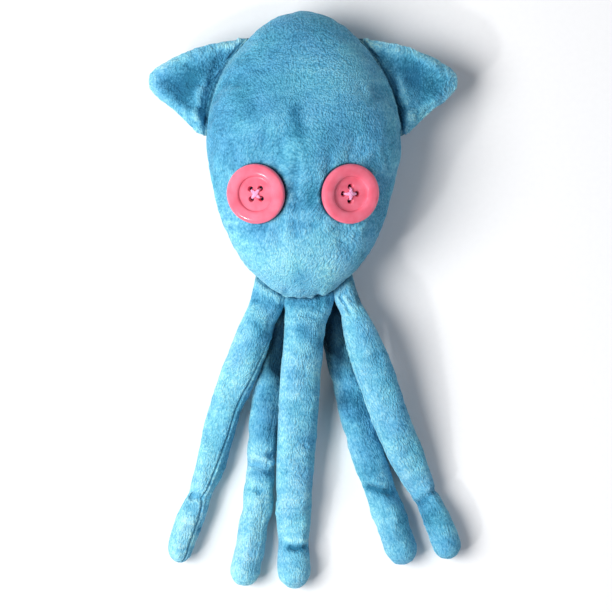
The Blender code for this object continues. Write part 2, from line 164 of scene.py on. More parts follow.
def waves_along(track, size, seed):
    """Waves of one coordinate alone."""
    return waves(np.stack([track, track * 0, track * 0], 1), size, seed)


def lattice_value(cells, seed):
    """A fixed random value from -1 to 1 for each cell of a lattice."""
    key = cells[:, 0] * 73856093 ^ cells[:, 1] * 19349663
    key = key ^ cells[:, 2] * 83492791 ^ seed * 50331653
    key = (key ^ (key >> 13)) * 1274126177 & 0x7FFFFFFF
    return (key >> 8 & 0xFFFF) / 32767.5 - 1


def waves(points, size, seed):
    """Soft random waves about as long as the size, from -1 to 1."""
    places = points / size + 0.37 * seed
    cells = np.floor(places).astype(np.int64)
    part = places - cells
    ease = part**3 * (part * (part * 6 - 15) + 10)
    total = np.zeros(len(points))
    for corner in product((0, 1), repeat=3):
        share = np.prod(np.where(corner, ease, 1 - ease), axis=1)
        total += share * lattice_value(cells + corner, seed)
    return total


def distance_to_path(places, path):
    """Distance in plan from each place to a path, and how far along it that is, 0 to 1."""
    path = np.array(path, float)
    lengths = np.linalg.norm(np.diff(path, axis=0), axis=1)
    before = np.concatenate(([0.0], np.cumsum(lengths)))
    nearest = np.full(len(places), np.inf)
    share = np.zeros(len(places))
    for number, length in enumerate(lengths):
        start = path[number]
        way = (path[number + 1] - start) / length
        run = np.clip((places - start) @ way, 0.0, length)
        distance = np.linalg.norm(places - start - run[:, None] * way, axis=1)
        closer = distance < nearest
        nearest[closer] = distance[closer]
        share[closer] = (before[number] + run[closer]) / before[-1]
    return nearest, share


# Stuffed pieces


def copy_of_node(node, name):
    """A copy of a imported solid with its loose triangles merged."""
    made = bpy.data.objects.new(name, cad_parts[node].data.copy())
    bpy.context.scene.collection.objects.link(made)
    made.data.materials.clear()
    shape = bmesh.new()
    shape.from_mesh(made.data)
    bmesh.ops.remove_doubles(shape, verts=shape.verts, dist=0.01 * MM)
    shape.to_mesh(made.data)
    shape.free()
    return made


def tree_of_node(node):
    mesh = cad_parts[node].data
    faces = [tuple(face.vertices) for face in mesh.polygons]
    return BVHTree.FromPolygons([vertex.co for vertex in mesh.vertices], faces)


MANTLE_TREE = tree_of_node("mantle")


def distance_to_mantle(points):
    return np.array([MANTLE_TREE.find_nearest(Vector(point))[3] for point in points])


def distance_to_mantle_if_near(points):
    """The same, but only worked out near the mantle's lower end. Elsewhere it is 1 m."""
    distances = np.full(len(points), 1.0)
    close = points[:, 1] > -14 * MM
    distances[close] = distance_to_mantle(points[close])
    return distances


def tuck_in(piece, way):
    """Pushes the sewn end into the mantle, as the seam allowance is."""
    points = points_of(piece)
    sewn = 1 - soft((distance_to_mantle(points) - 0.5 * MM) / (0.6 * MM))
    put_points(piece, points + sewn[:, None] * np.array(way) * SEAM_ALLOWANCE)


def even_mesh(piece, spacing, shrink):
    """An even mesh over the piece, smaller by so much, to leave room for the filling."""
    remesh = piece.modifiers.new("Even", "REMESH")
    remesh.mode = "VOXEL"
    remesh.voxel_size = spacing
    smooth = piece.modifiers.new("Smooth", "SMOOTH")
    smooth.factor = 0.5
    smooth.iterations = 3
    apply_all_modifiers(piece)
    move_out(piece, np.full(len(piece.data.vertices), -shrink))


def fill(piece, held, slack, most):
    """Blows the closed bag up from inside. Held points stay, and none moves further than most."""
    start = points_of(piece)
    group = piece.vertex_groups.new(name="held")
    for index, weight in enumerate(held):
        if weight > 0.01:
            group.add([index], float(weight), "REPLACE")
    cloth = piece.modifiers.new("Filling", "CLOTH")
    cloth.settings.vertex_group_mass = group.name
    cloth.settings.quality = 5
    cloth.settings.mass = 0.2
    cloth.settings.bending_stiffness = 0.2
    cloth.settings.use_pressure = True
    cloth.settings.uniform_pressure_force = FILL_PRESSURE
    cloth.settings.shrink_min = -slack
    cloth.settings.effector_weights.gravity = 0.0
    cloth.collision_settings.use_collision = False
    cloth.point_cache.frame_start = 1
    cloth.point_cache.frame_end = FILL_FRAMES
    for number in range(1, FILL_FRAMES + 1):
        bpy.context.scene.frame_set(number)
    filled = points_of(piece.evaluated_get(bpy.context.evaluated_depsgraph_get()))
    piece.modifiers.remove(cloth)
    piece.vertex_groups.remove(group)
    move = filled - start
    length = np.linalg.norm(move, axis=1, keepdims=True) + 1e-9
    put_points(piece, start + move / length * most * np.tanh(length / most))
    bpy.context.scene.frame_set(1)


def refine(piece, eased=0):
    """Finer faces, after so many rounds of easing the wrinkles out."""
    if eased:
        smooth = piece.modifiers.new("Smooth", "SMOOTH")
        smooth.factor = 0.5
        smooth.iterations = eased
    finer = piece.modifiers.new("Finer", "SUBSURF")
    finer.levels = FINER_LEVELS
    finer.render_levels = FINER_LEVELS
    apply_all_modifiers(piece)
    piece.data.shade_smooth()


def press(piece, path, depth, width):
    """Presses a line into the cloth that faces up, or raises it if depth is negative. All in mm."""
    points = points_of(piece)
    distance, share = distance_to_path(points[:, :2], np.array(path) * MM)
    ends = soft(np.minimum(share, 1 - share) * 5 + 0.35)
    pressed = bump_at(distance, width * MM) * ends * facing_up(normals_of(piece))
    move_out(piece, -depth * MM * pressed)


def pinch(piece, x, y, depth, width):
    """Draws the cloth in all round one spot of the outline, above the floor. All in mm."""
    points = points_of(piece)
    away = np.linalg.norm(points[:, :2] - np.array((x, y)) * MM, axis=1)
    move_out(piece, -depth * MM * bump_at(away, width * MM) * soft(points[:, 2] / FLOOR_FADE))


def raise_pile(piece, seed, lump):
    """Clumps of pile, drawn coarser than real ones so that they show, and lumps of the filling."""
    points = points_of(piece)
    lumps = lump * (waves(points, 19 * MM, seed) + 0.2 * waves(points, 8 * MM, seed + 1))
    move_out(piece, lumps + CLUMP_HEIGHT * waves(points, CLUMP_SIZE, seed + 2))


def write_hollows(piece):
    """How deep each point lies in a hollow of the pile, up to 1, or out on a ridge, down to -1.

    The surface is compared with one that has been eased by so many passes. The plush paints shade
    into the hollows and light onto the ridges from it.
    """
    passes, full_depth = 10, 0.25 * MM
    points = points_of(piece)
    edges = np.empty(len(piece.data.edges) * 2, np.int32)
    piece.data.edges.foreach_get("vertices", edges)
    ends = np.concatenate([edges[0::2], edges[1::2]])
    others = np.concatenate([edges[1::2], edges[0::2]])
    count = np.bincount(ends, minlength=len(points))[:, None]
    eased = points
    for _ in range(passes):
        sums = [np.bincount(ends, eased[others, axis], len(points)) for axis in range(3)]
        eased = 0.4 * eased + 0.6 * np.stack(sums, 1) / count
    sunk = np.einsum("ij,ij->i", eased - points, normals_of(piece)) / full_depth
    write_attribute(piece, "hollow", "FLOAT", np.clip(sunk - sunk.mean(), -1.0, 1.0))


def keep_above_floor(piece):
    points = points_of(piece)
    points[:, 2] = np.maximum(points[:, 2], 0.0)
    put_points(piece, points)


def write_attribute(piece, name, kind, values):
    attribute = piece.data.attributes.new(name, kind, "POINT")
    field = "vector" if kind == "FLOAT_VECTOR" else "value"
    attribute.data.foreach_set(field, values.astype(np.float32).ravel())


def stroke_shares(points, strokes):
    """How strongly strokes touch each point: (x, y, x, y, width, share) in mm. Strokes mark where
    the pile lies darker or lighter, and where shade or light is painted.
    """
    ragged = 1 + 0.25 * waves(points, 8 * MM, 41)
    total = np.zeros(len(points))
    for start_x, start_y, end_x, end_y, width, share in strokes:
        path = np.array(((start_x, start_y), (end_x, end_y))) * MM
        distance, _ = distance_to_path(points[:, :2], path)
        total += share * bump_at(distance * ragged, width * MM) * soft(points[:, 2] / FLOOR_FADE)
    return total


def brush(piece, strokes, lie_and_painted_light=0.0, painted_shade=(), painted_recess_shade=0.0, tousled=1.0):
    """How the pile lies, and painted light and shade: how far it lies the dark way, all over and by
    strokes, which also paint shade and light on sides, folds and crevices; a painted shade, dark in
    crevices between pieces, in seams and under the buttons; and how unevenly the pile lies."""
    points = points_of(piece)
    write_attribute(piece, "tousled", "FLOAT", tousled * np.ones(len(points)))
    write_attribute(piece, "brushed_and_painted_light", "FLOAT", lie_and_painted_light + stroke_shares(points, strokes))
    shade_share = np.clip(stroke_shares(points, painted_shade) + painted_recess_shade, 0.0, 1.0)
    write_attribute(piece, "shade_share", "FLOAT", shade_share)


def finish_piece(piece, finish, node):
    piece.data.materials.clear()
    piece.data.materials.append(finish)
    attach(piece, "root")
    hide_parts(node)


# Materials


def linear(hex_colour):
    """A linear colour from an sRGB hex value."""
    colour = []
    for start in (1, 3, 5):
        value = int(hex_colour[start : start + 2], 16) / 255
        colour.append(value / 12.92 if value <= 0.04045 else ((value + 0.055) / 1.055) ** 2.4)
    return (*colour, 1.0)


def add(tree, kind, links=None, inputs=None, **settings):
    """Adds a node with its settings, its input values and the sockets that feed it."""
    node = tree.nodes.new(kind)
    for name, value in settings.items():
        setattr(node, name, value)
    for name, value in (inputs or {}).items():
        node.inputs[name].default_value = value
    for name, source in (links or {}).items():
        tree.links.new(source, node.inputs[name])
    return node


def set_ramp(node, stops):
    ramp = node.color_ramp
    while len(ramp.elements) < len(stops):
        ramp.elements.new(0.5)
    for element, (position, colour) in zip(ramp.elements, stops):
        element.position = position
        element.color = colour


def new_material(name):
    made = bpy.data.materials.new(name)
    made.use_nodes = True
    return made, made.node_tree, made.node_tree.nodes["Principled BSDF"]


def stretched_noise(tree, source, size, detail, rough=0.5):
    """Noise with the given size in mm across, along and up."""
    scale = tuple(1 / (value * MM) for value in size)
    placed = add(tree, "ShaderNodeMapping", {"Vector": source}, {"Scale": scale})
    made = add(
        tree, "ShaderNodeTexNoise", {"Vector": placed.outputs["Vector"]},
        {"Scale": 1.0, "Detail": detail, "Roughness": rough},
    )
    return made.outputs["Fac"]


def tufts(tree, source, size, wander):
    """Distance to the middle of the nearest tuft, for tufts of a size that wander so far, in mm."""
    waver = add(
        tree, "ShaderNodeTexNoise", {"Vector": source}, {"Scale": 1 / (2.6 * MM), "Detail": 1.0},
    )
    moved = add(
        tree, "ShaderNodeVectorMath", {0: waver.outputs["Color"], 2: source},
        {1: (wander * MM,) * 3}, operation="MULTIPLY_ADD",
    )
    scale = tuple(1 / (value * MM) for value in size)
    placed = add(tree, "ShaderNodeMapping", {"Vector": moved.outputs[0]}, {"Scale": scale})
    cells = add(
        tree, "ShaderNodeTexVoronoi", {"Vector": placed.outputs["Vector"]}, {"Scale": 1.0},
    )
    return cells.outputs["Distance"]


def weighted(tree, terms, base):
    """Sum of base and each value less a half, times its weight."""
    total = None
    for value, weight in terms:
        offset = -0.5 * weight + (base if total is None else 0.0)
        scaled = add(
            tree, "ShaderNodeMath", {0: value}, {1: weight, 2: offset}, operation="MULTIPLY_ADD",
        ).outputs[0]
        if total is not None:
            scaled = add(tree, "ShaderNodeMath", {0: total, 1: scaled}).outputs[0]
        total = scaled
    return total


def attribute_output(tree, name, output="Fac"):
    return add(tree, "ShaderNodeAttribute", attribute_name=name).outputs[output]


def minky_plush():
    """Polyester minky, warp-knitted and sheared short.

    Its 1 mm pile lies along each limb. Where it lies away from the light it is a deep blue, where
    it lies towards it a pale cyan, and it shines softly at the edges. Its tufts are drawn about
    1 mm wide and 2 mm long, several times their real width, so that they show. The grain stands
    for the fibres' ends, the ribs for the knit under them. The coarser patterns are how hands left
    the pile: clumps and blotches that lean together, bands across a limb, wide patches, and a
    drift in hue. Painted light and shade are mixed into the colour as well: the pile's lie also
    carries painted shade and painted light, hollows are painted darker and ridges lighter, and
    crevices, seams and the cloth under the buttons are multiplied towards a dark grey-blue, a
    painted shade.
    """
    made, tree, shader = new_material("minky_plush")
    nap = attribute_output(tree, "nap", "Vector")
    brushed_and_painted_light = attribute_output(tree, "brushed_and_painted_light")
    hollow = attribute_output(tree, "hollow")
    shade_share = attribute_output(tree, "shade_share")
    tousled = attribute_output(tree, "tousled")
    place = add(tree, "ShaderNodeTexCoord").outputs["Object"]
    patches = stretched_noise(tree, place, (26, 32, 26), 1.0, 0.45)
    blotches = stretched_noise(tree, nap, (8, 12, 8), 1.0, 0.45)
    clumps = stretched_noise(tree, nap, (3.4, 5, 3.4), 1.0)
    bands = stretched_noise(tree, nap, (17, 7, 17), 1.0, 0.45)
    ribs = stretched_noise(tree, place, (9, 1.1, 9), 1.0)
    fibres = tufts(tree, nap, (1.1, 2.6, 1.1), 1.7)
    grain = stretched_noise(tree, place, (0.8, 0.8, 0.8), 1.0)
    drift = stretched_noise(tree, place, (15, 19, 15), 1.0)
    shade = weighted(
        tree,
        ((patches, 0.22), (blotches, 0.14), (ribs, 0.1), (fibres, -0.44), (grain, 0.34)),
        0.55,
    )
    loose = weighted(tree, ((clumps, 0.1), (blotches, 0.16), (bands, 0.42)), 0.0)
    shade = add(
        tree, "ShaderNodeMath", {0: loose, 1: tousled, 2: shade}, operation="MULTIPLY_ADD",
    ).outputs[0]
    # Painted shade and light: darker or lighter by the pile's lie, which carries painted shade and
    # light too, and painted darker in hollows and lighter on ridges
    for value, weight in ((brushed_and_painted_light, -0.38), (hollow, -0.2)):
        shade = add(
            tree, "ShaderNodeMath", {0: value, 2: shade}, {1: weight}, operation="MULTIPLY_ADD",
        ).outputs[0]
    colour = add(tree, "ShaderNodeValToRGB", {"Fac": shade})
    set_ramp(colour, (
        (0.0, linear("#317898")), (0.3, linear("#57A5C7")), (0.56, linear("#7CC6DF")),
        (0.8, linear("#ABE7EF")), (1.0, linear("#CCF8F6")),
    ))
    hue = add(tree, "ShaderNodeValToRGB", {"Fac": drift})
    set_ramp(hue, ((0.3, linear("#F5F5FF")), (0.7, linear("#F8FFFC"))))
    tinted = add(
        tree, "ShaderNodeMix", {6: colour.outputs["Color"], 7: hue.outputs["Color"]}, {0: 1.0},
        data_type="RGBA", blend_type="MULTIPLY",
    )
    # Painted shade: the colour is multiplied towards a dark grey-blue in crevices between pieces,
    # in seams and under the buttons
    painted_shade = add(
        tree, "ShaderNodeMix", {0: shade_share, 6: tinted.outputs[2]}, {7: linear("#46545E")},
        data_type="RGBA", blend_type="MULTIPLY",
    )
    height = weighted(tree, ((fibres, -0.8), (grain, 0.5), (ribs, 0.3)), 0.5)
    relief = add(
        tree, "ShaderNodeBump", {"Height": height}, {"Strength": 0.9, "Distance": 0.8 * MM},
    )
    tree.links.new(painted_shade.outputs[2], shader.inputs["Base Color"])
    tree.links.new(relief.outputs["Normal"], shader.inputs["Normal"])
    shader.inputs["Roughness"].default_value = 0.9
    shader.inputs["Specular IOR Level"].default_value = 0.2
    shader.inputs["Sheen Weight"].default_value = 0.5
    shader.inputs["Sheen Roughness"].default_value = 0.3
    shader.inputs["Sheen Tint"].default_value = linear("#BFF0FF")
    return made


def moulded_polyester():
    """Polyester button, cast and tumble-polished: an even coral, a clear gloss, faint cloudy depth.

    The clouds are where the resin was stirred, the scuffs fine handling marks.
    """
    made, tree, shader = new_material("coral_polyester")
    place = add(tree, "ShaderNodeTexCoord").outputs["Object"]
    clouds = stretched_noise(tree, place, (7, 7, 7), 2.0)
    scuffs = stretched_noise(tree, place, (0.9, 0.9, 0.9), 3.0, 0.6)
    colour = add(tree, "ShaderNodeValToRGB", {"Fac": clouds})
    set_ramp(colour, ((0.3, linear("#F0687F")), (0.7, linear("#F97F96"))))
    gloss = add(
        tree, "ShaderNodeMapRange", {"Value": scuffs}, {"To Min": 0.1, "To Max": 0.2},
    ).outputs["Result"]
    relief = add(
        tree, "ShaderNodeBump", {"Height": clouds}, {"Strength": 0.25, "Distance": 0.2 * MM},
    )
    tree.links.new(colour.outputs["Color"], shader.inputs["Base Color"])
    tree.links.new(gloss, shader.inputs["Roughness"])
    tree.links.new(relief.outputs["Normal"], shader.inputs["Normal"])
    shader.inputs["IOR"].default_value = 1.54
    shader.inputs["Subsurface Weight"].default_value = 0.12
    shader.inputs["Subsurface Radius"].default_value = (1.0, 0.35, 0.3)
    shader.inputs["Subsurface Scale"].default_value = 1.5 * MM
    return made


def cotton_thread():
    """Pink buttonhole thread, spun and mercerised: soft sheen, fine lint in two pinks."""
    made, tree, shader = new_material("cotton_thread")
    place = add(tree, "ShaderNodeTexCoord").outputs["Object"]
    lint = stretched_noise(tree, place, (0.35, 0.35, 0.35), 3.0, 0.6)
    colour = add(tree, "ShaderNodeValToRGB", {"Fac": lint})
    set_ramp(colour, ((0.3, linear("#EE97C8")), (0.7, linear("#FFC4E4"))))
    relief = add(
        tree, "ShaderNodeBump", {"Height": lint}, {"Strength": 0.5, "Distance": 0.1 * MM},
    )
    tree.links.new(colour.outputs["Color"], shader.inputs["Base Color"])
    tree.links.new(relief.outputs["Normal"], shader.inputs["Normal"])
    shader.inputs["Roughness"].default_value = 0.65
    shader.inputs["Sheen Weight"].default_value = 0.4
    return made


def matt_paper():
    """White backdrop paper: matt, with faint tooth, drawn 3 mm wide so that it is seen at all."""
    made, tree, shader = new_material("backdrop_paper")
    place = add(tree, "ShaderNodeTexCoord").outputs["Object"]
    tooth = stretched_noise(tree, place, (3, 3, 3), 2.0)
    colour = add(tree, "ShaderNodeValToRGB", {"Fac": tooth})
    set_ramp(colour, ((0.0, linear("#F6F6F6")), (1.0, linear("#FAFAFA"))))
    tree.links.new(colour.outputs["Color"], shader.inputs["Base Color"])
    shader.inputs["Roughness"].default_value = 0.95
    shader.inputs["Specular IOR Level"].default_value = 0.1
    return made


PLUSH = minky_plush()
CORAL = moulded_polyester()
THREAD = cotton_thread()
PAPER = matt_paper()


# Buttons


def button_seat(node):
    """Middle of a button's flat underside, and the way the button faces."""
    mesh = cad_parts[node].data
    areas = {}
    for face in mesh.polygons:
        key = tuple(round(value, 2) for value in face.normal)
        areas.setdefault(key, []).append(face)
    under = max(areas.values(), key=lambda faces: sum(face.area for face in faces))
    whole = sum(face.area for face in under)
    facing = -sum((face.normal * face.area for face in under), Vector()) / whole
    middle = sum((face.center * face.area for face in under), Vector()) / whole
    return middle, facing.normalized()


SEATS = {side: button_seat(f"button_{side}") for side in ("left", "right")}


def superellipse(angle, fullness):
    """A point of the unit curve at an angle: a circle for fullness 2, squarer above it."""
    circle = (math.cos(angle), math.sin(angle))
    return tuple(math.copysign(abs(value) ** (2 / fullness), value) for value in circle)


def select_faces(obj, wanted):
    """Selects in edit mode the faces for which wanted(face) holds."""
    bpy.ops.object.mode_set(mode="EDIT")
    bpy.ops.mesh.select_mode(type="FACE")
    shape = bmesh.from_edit_mesh(obj.data)
    for face in shape.faces:
        face.select_set(wanted(face))
    bmesh.update_edit_mesh(obj.data)


def shape_cap(obj, wanted, steps):
    """Insets a round end face ring by ring and lifts or sinks each ring.

    The steps are (radius, height) from the outside in.
    """
    select_faces(obj, wanted)
    for (radius, height), (next_radius, next_height) in zip(steps, steps[1:]):
        bpy.ops.mesh.inset(thickness=radius - next_radius, depth=0.0, use_even_offset=True)
        bpy.ops.transform.translate(value=(0.0, 0.0, next_height - height))
    bpy.ops.object.mode_set(mode="OBJECT")


def rim_steps():
    """Outer edge, domed rim, wall of the dish and its floor, as radius and height."""
    dish_top = BUTTON_THICKNESS - BUTTON_DISH_DEPTH
    middle = (BUTTON_RADIUS + BUTTON_DISH_RADIUS) / 2
    half = (BUTTON_RADIUS - BUTTON_DISH_RADIUS) / 2
    steps = []
    for step in range(RIM_STEPS + 1):
        across, up = superellipse(math.pi * step / RIM_STEPS, RIM_FULLNESS)
        foot = dish_top if across < 0 else BUTTON_SHOULDER
        steps.append((middle + half * across, foot + (BUTTON_THICKNESS - foot) * max(up, 0.0)))
    for inward, down in ((0.35, 0.12), (1.3, 0.16)):  # mm, where the wall runs out into the floor
        steps.append((BUTTON_DISH_RADIUS - inward * MM, dish_top - down * MM))
    return steps


def foot_steps():
    """The rounded underside, from the outer edge in."""
    steps = []
    for step in range(FOOT_STEPS + 1):
        across, down = superellipse(math.pi / 2 * step / FOOT_STEPS, 2)
        steps.append((BUTTON_RADIUS - BUTTON_FOOT * (1 - across), BUTTON_SHOULDER * (1 - down)))
    return steps


def drill(obj, spot):
    """Cuts a hole that narrows towards the underside, as the draft of a mould leaves it."""
    low, high = -1.0 * MM, 6.0 * MM
    slope = (HOLE_RADIUS - HOLE_FOOT_RADIUS) / (BUTTON_THICKNESS - BUTTON_DISH_DEPTH)
    bpy.ops.mesh.primitive_cone_add(
        vertices=32, radius1=HOLE_FOOT_RADIUS + slope * low,
        radius2=HOLE_FOOT_RADIUS + slope * high, depth=high - low,
        location=(spot.x, spot.y, (low + high) / 2),
    )
    cutter = bpy.context.active_object
    cut = obj.modifiers.new("Hole", "BOOLEAN")
    cut.operation = "DIFFERENCE"
    cut.solver = "EXACT"
    cut.object = cutter
    apply_all_modifiers(obj)
    bpy.data.objects.remove(cutter)


def hole_spots():
    for quarter in range(4):
        angle = HOLE_TURN + quarter * math.pi / 2
        yield Vector((math.cos(angle), math.sin(angle), 0.0)) * HOLE_CIRCLE_RADIUS


def make_button(side):
    """A turned four-hole button: domed rim, sunk dish, rounded foot, holes with eased edges."""
    deselect_all()
    foot_top = BUTTON_SHOULDER * 0.75
    bpy.ops.mesh.primitive_cylinder_add(
        vertices=96, radius=BUTTON_RADIUS, depth=BUTTON_SHOULDER - foot_top,
        location=(0.0, 0.0, (foot_top + BUTTON_SHOULDER) / 2),
    )
    button = bpy.context.active_object
    button.name = f"eye_button_{side}"
    bpy.ops.object.transform_apply(location=True, rotation=True, scale=True)
    shape_cap(button, lambda face: face.normal.z > 0.9, rim_steps())
    below = [(BUTTON_RADIUS, foot_top)] + foot_steps()[2:]
    end_face = 0.0001  # m2: only the end face is as large
    shape_cap(button, lambda face: face.normal.z < -0.9 and face.calc_area() > end_face, below)
    for spot in hole_spots():
        drill(button, spot)
    ease = button.modifiers.new("Ease", "BEVEL")
    ease.width = HOLE_EDGE
    ease.segments = 3
    ease.limit_method = "ANGLE"
    ease.angle_limit = math.radians(55)
    apply_all_modifiers(button)
    make_active(button)
    bpy.ops.object.shade_smooth_by_angle(angle=math.radians(35))
    place_on_seat(button, side)
    finish_piece(button, CORAL, f"button_{side}")


def place_on_seat(piece, side):
    middle, facing = SEATS[side]
    turn = facing.to_track_quat("Z", "Y").to_matrix().to_4x4()
    piece.data.transform(Matrix.Translation(middle) @ turn)
    piece.data.update()


def strand_route(first, second, aside, lift, phase):
    """One ply of a strand, up through a hole, over the dish and down through the next, twisting."""
    top = BUTTON_THICKNESS - BUTTON_DISH_DEPTH
    along = (second - first).normalized()
    across = Vector((-along.y, along.x, 0.0))
    length = (second - first).length
    places = []
    for step in range(STRAND_STEPS + 1):
        share = step / STRAND_STEPS
        run = (share - 0.5) * (length + 2 * STITCH_ENDS)
        beyond = max(abs(run) - (length / 2 - 1.2 * MM), 0.0)
        flat = math.copysign(min(abs(run), length / 2 - 0.9 * MM + 0.1 * beyond), run)
        height = top + 0.45 * MM + lift * math.exp(-((run / (2.0 * MM)) ** 2)) - 0.9 * beyond
        spread = aside * (0.55 + 0.45 * math.cos(math.pi * min(abs(run) / (length / 2), 1.0)))
        angle = phase + share * math.pi * HALF_TWISTS
        places.append(
            first.lerp(second, 0.5) + along * flat
            + across * (spread + PLY_OFFSET * math.cos(angle))
            + Vector((0.0, 0.0, height + PLY_OFFSET * math.sin(angle)))
        )
    return places


def make_thread(side):
    """Two crossed stitches, each of three strands of two twisted plies."""
    holes = list(hole_spots())
    routes = []
    for first, second, lift in ((holes[0], holes[2], 0.0), (holes[1], holes[3], CROSSING_LIFT)):
        for strand, aside in enumerate((-STRAND_SPACING, 0.0, STRAND_SPACING)):
            height = lift + MIDDLE_LIFT * (strand == 1)
            for phase in (0.0, math.pi):
                routes.append(strand_route(first, second, aside, height, phase + strand))
    curve = bpy.data.curves.new(f"eye_thread_{side}", "CURVE")
    curve.dimensions = "3D"
    curve.bevel_depth = PLY_RADIUS
    curve.bevel_resolution = 3
    curve.use_fill_caps = True
    for route in routes:
        spline = curve.splines.new("POLY")
        spline.points.add(len(route) - 1)
        for point, place in zip(spline.points, route):
            point.co = (*place, 1.0)
    thread = bpy.data.objects.new(curve.name, curve)
    bpy.context.scene.collection.objects.link(thread)
    make_active(thread)
    bpy.ops.object.convert(target="MESH")
    thread.data.shade_smooth()
    place_on_seat(thread, side)
    finish_piece(thread, THREAD, f"button_thread_{side}")


# Mantle


def flatten_under_buttons(piece):
    """The thread pulls each button in: the cloth lies flat under it and rises round its edge."""
    clearance, rim_rise = 0.15 * MM, 1.9 * MM
    points = points_of(piece)
    for middle, facing in SEATS.values():
        middle, facing = np.array(middle), np.array(facing)
        offset = points - middle
        height = offset @ facing
        out = np.linalg.norm(offset - height[:, None] * facing, axis=1)
        near = (out < BUTTON_RADIUS * 1.6) & (height > -12 * MM)
        rise = rim_rise * soft((out - BUTTON_RADIUS * 0.93) / (BUTTON_RADIUS * 0.24))
        over = np.maximum(height - (rise - clearance), 0.0)
        fade = 1 - soft((out - BUTTON_RADIUS * 1.15) / (BUTTON_RADIUS * 0.45))
        points = points - facing * (over * fade * near)[:, None]
    put_points(piece, points)


def pull_lines(piece):
    """Faint folds that run out from under each button, where the thread draws the cloth in."""
    points = points_of(piece)
    moves = np.zeros(len(points))
    for number, (middle, facing) in enumerate(SEATS.values()):
        frame_of_button = np.array(facing.to_track_quat("Z", "Y").to_matrix())
        local = (points - np.array(middle)) @ frame_of_button
        out = np.linalg.norm(local[:, :2], axis=1)
        angle = np.arctan2(local[:, 1], local[:, 0])
        spokes = np.sin(angle * 9 + number) * 0.6 + np.sin(angle * 14 + 2.3 * number) * 0.4
        beyond = np.maximum(out - BUTTON_RADIUS, 0)
        reach = soft((out - BUTTON_RADIUS * 0.9) / (3 * MM)) * np.exp(-beyond / (6 * MM))
        moves += 0.35 * MM * spokes * reach * (np.abs(local[:, 2]) < 14 * MM)
    move_out(piece, moves)


# Where hands left the pile darker, or lighter, and where shade and light are painted: the upper end
# and upper left drawn darker and the lower end lighter, as the lamps would leave them. (x, y, x, y,
# width, share) in mm
MANTLE_STROKES = (
    (-6, 106, -3, 94, 4, 1.0), (6, 62, 5, 54, 5, 0.8), (-30, 44, -25, 41, 6, 0.6),
    (-34, 114, -29, 106, 6, 0.7), (36, 100, 44, 86, 10, 0.4), (22, 26, 32, 22, 6, 0.3),
    (44, 60, 47, 40, 9, 0.4), (-4, 16, -2, 14, 5, 0.5), (-34, 130, -14, 112, 12, 0.35),
    (-14, 152, 16, 152, 15, 0.45), (-40, 40, -28, 14, 12, -0.35), (-10, 20, 15, 20, 14, -0.6),
    (20, 96, 4, 78, 9, 0.3), (-40, 124, -50, 84, 13, 0.35), (-12, 84, -4, 58, 6, 0.25),
    (-22, 92, -34, 78, 8, 0.25), (30, 124, 22, 140, 8, -0.2),
)


def near_buttons(points, radius, fade):
    """1 within the radius of a button's seat, and 0 further off than the fade beyond it."""
    nearest = np.full(len(points), np.inf)
    for middle, _ in SEATS.values():
        nearest = np.minimum(nearest, np.linalg.norm(points - np.array(middle), axis=1))
    return 1 - soft((nearest - radius) / fade)


def make_mantle():
    mantle = copy_of_node("mantle", "mantle_cloth")
    even_mesh(mantle, MANTLE_SPACING, 0.5 * MM)
    points = points_of(mantle)
    sideways = soft((0.35 - np.abs(normals_of(mantle)[:, 2])) / 0.1)
    on_seam = bump_at(points[:, 2] - SEAM_HEIGHT, 2.0 * MM) * sideways
    lying = 1 - soft((points[:, 2] - 0.4 * MM) / (2.5 * MM))
    below_seam = soft((SEAM_HEIGHT + 4 * MM - points[:, 2]) / (5 * MM))
    sewn = soft((16 * MM - points[:, 1]) / (8 * MM)) * below_seam
    under_button = near_buttons(points, BUTTON_RADIUS * 0.9, 3 * MM)
    held = np.clip(np.maximum.reduce([on_seam, lying, sewn, under_button]), 0.0, 1.0)
    fill(mantle, held, MANTLE_SLACK, MANTLE_BULGE)
    refine(mantle)
    flatten_under_buttons(mantle)

    # The front's lower edge hangs over the limbs as a lip
    points = points_of(mantle)
    lip = soft((15 * MM - points[:, 1]) / (12 * MM)) * soft((points[:, 2] - 16 * MM) / (10 * MM))
    points[:, 1] -= 2.2 * MM * lip
    put_points(mantle, points)
    # The seam is a groove, puckered on both sides, and the lip is wrinkled
    normals = normals_of(mantle)
    round_middle = np.arctan2(points[:, 0], points[:, 1] - 84 * MM) * 62 * MM
    off_seam = points[:, 2] - SEAM_HEIGHT
    groove = -1.0 * MM * bump_at(off_seam, 1.1 * MM)
    puckers = 0.22 * MM * waves_along(round_middle, 4.6 * MM, 3) * bump_at(off_seam, 4.5 * MM)
    sideways = soft((0.8 - np.abs(normals[:, 2])) / 0.2)
    wrinkles = waves(points * (1.0, 0.2, 0.5), 3.6 * MM, 8)
    wrinkled = soft((12 * MM - points[:, 1]) / (7 * MM)) * soft((0.9 - normals[:, 2]) / 0.3)
    move_out(mantle, (groove - puckers) * sideways + 1.0 * MM * wrinkles * wrinkled)
    pull_lines(mantle)
    raise_pile(mantle, 11, 0.3 * MM)
    flatten_under_buttons(mantle)
    keep_above_floor(mantle)

    points = points_of(mantle)
    swirl = three_waves(points, 34 * MM, (5, 6, 7))
    write_attribute(mantle, "nap", "FLOAT_VECTOR", points * MANTLE_NAP + swirl * 9 * MM)
    # The whole mantle is drawn a little darker. Painted shade: the cloth under each button and just
    # round its edge is shaded dark, and some strokes paint shade and light
    brush(
        mantle, MANTLE_STROKES, lie_and_painted_light=0.35,
        painted_recess_shade=near_buttons(points, BUTTON_RADIUS * 0.98, 1.2 * MM),
        tousled=0.4 * soft((points[:, 1] - 30 * MM) / (30 * MM)),
    )
    write_hollows(mantle)
    finish_piece(mantle, PLUSH, "mantle")


# Fins


